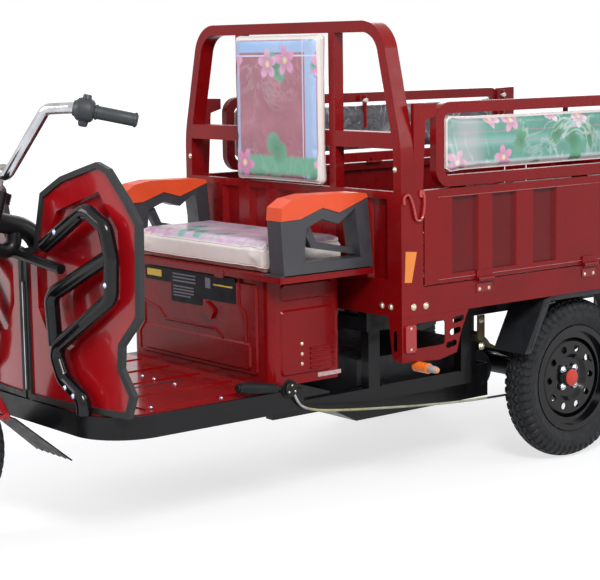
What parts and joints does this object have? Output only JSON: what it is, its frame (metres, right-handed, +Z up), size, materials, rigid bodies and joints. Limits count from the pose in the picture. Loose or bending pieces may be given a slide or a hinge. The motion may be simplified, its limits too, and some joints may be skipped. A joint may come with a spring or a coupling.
{
  "type": "electric cargo tricycle",
  "caption": "Electric cargo tricycle with a raised driver's seat, leg shields, a roll hoop and an open bed whose side boards carry fold-in benches.",
  "frame": {"origin": "on the ground, under the middle of the whole vehicle", "axes": "+X to the rider's left, +Y to the rear, +Z up"},
  "size_m": [1.178, 3.0343, 1.353],
  "materials": {
    "red_paint": "glossy",
    "red_moulding": "glossy",
    "black_paint": "satin",
    "black_plastic": "matte",
    "orange_plastic": "glossy",
    "grey_trim": "satin",
    "chrome": "polished",
    "bare_steel": "satin",
    "cast": "matte",
    "tyre": "matte",
    "rubber": "matte",
    "clear_lens": "clear",
    "red_lens": "glossy",
    "cushion": "satin",
    "cable": "satin"
  },
  "bodies": {
    "chassis": {"main_frame": "black_paint", "floor_frame": "black_paint", "floor_panel": "red_paint", "leg_shields": "red_moulding", "shield_trims": "grey_trim", "guard_tubes": "black_paint", "seat_box": "red_paint", "battery_tray": "black_paint", "battery_pack": "black_plastic", "bed_frame": "red_paint", "bed_floor": "red_paint", "front_board": "red_paint", "hoop": "red_paint", "backrest": "cushion", "corner_skirts": "red_paint", "marker_lamps": "orange_plastic", "mudguards": "black_paint", "rear_axle": "cast", "leaf_springs": "bare_steel", "parking_lever": "black_plastic", "brake_cable": "cable", "tail_lamps": "red_lens"},
    "steering": {"fork": "black_paint", "handlebar": "chrome", "bar_clamps": "bare_steel", "grips": "rubber", "headlamp": "black_plastic", "headlamp_lens": "clear_lens", "front_fender": "red_paint", "mud_flap": "rubber"},
    "front_wheel": {"front_tyre": "tyre", "front_rim": "black_paint"},
    "rear_wheel_left": {"rear_tyre_left": "tyre", "rear_rim_left": "black_paint", "rear_hub_left": "cast"},
    "rear_wheel_right": {"rear_tyre_right": "tyre", "rear_rim_right": "black_paint", "rear_hub_right": "cast"},
    "gate_left": {"side_gate_left": "red_paint"},
    "gate_right": {"side_gate_right": "red_paint"},
    "bench_left": {"bench_frame_left": "red_paint", "bench_pad_left": "cushion"},
    "bench_right": {"bench_frame_right": "red_paint", "bench_pad_right": "cushion"},
    "tail": {"tailgate": "red_paint"},
    "seat": {"seat_plate": "red_paint", "seat_cushion": "cushion", "armrests": "black_plastic", "armrest_caps": "orange_plastic"}
  },
  "joints": [
    {"name": "steer", "type": "hinge", "parent": "chassis", "child": "steering", "pos_m": [0, -1.2404, 0.24], "axis": [0, 0.309, 0.9511], "range_deg": [-40, 40]},
    {"name": "front_wheel_spin", "type": "hinge", "parent": "steering", "child": "front_wheel", "pos_m": [0, -1.2772, 0.24], "axis": [1, 0, 0], "continuous": true},
    {"name": "rear_wheel_left_spin", "type": "hinge", "parent": "chassis", "child": "rear_wheel_left", "pos_m": [0.438, 0.7128, 0.249], "axis": [1, 0, 0], "continuous": true},
    {"name": "rear_wheel_right_spin", "type": "hinge", "parent": "chassis", "child": "rear_wheel_right", "pos_m": [-0.438, 0.7128, 0.249], "axis": [1, 0, 0], "continuous": true},
    {"name": "side_gate_left_hinge", "type": "hinge", "parent": "chassis", "child": "gate_left", "pos_m": [0.521, 0.7258, 0.61], "axis": [0, 1, 0], "range_deg": [0, 170]},
    {"name": "side_gate_right_hinge", "type": "hinge", "parent": "chassis", "child": "gate_right", "pos_m": [-0.521, 0.7258, 0.61], "axis": [0, -1, 0], "range_deg": [0, 170]},
    {"name": "bench_left_fold", "type": "hinge", "parent": "gate_left", "child": "bench_left", "pos_m": [0.474, 0.7258, 0.882], "axis": [0, -1, 0], "range_deg": [0, 90]},
    {"name": "bench_right_fold", "type": "hinge", "parent": "gate_right", "child": "bench_right", "pos_m": [-0.474, 0.7258, 0.882], "axis": [0, 1, 0], "range_deg": [0, 90]},
    {"name": "tailgate_hinge", "type": "hinge", "parent": "chassis", "child": "tail", "pos_m": [0, 1.5098, 0.61], "axis": [-1, 0, 0], "range_deg": [0, 170]},
    {"name": "seat_lid", "type": "hinge", "parent": "chassis", "child": "seat", "pos_m": [0, -0.4002, 0.6483], "axis": [1, 0, 0], "range_deg": [0, 50]}
  ]
}
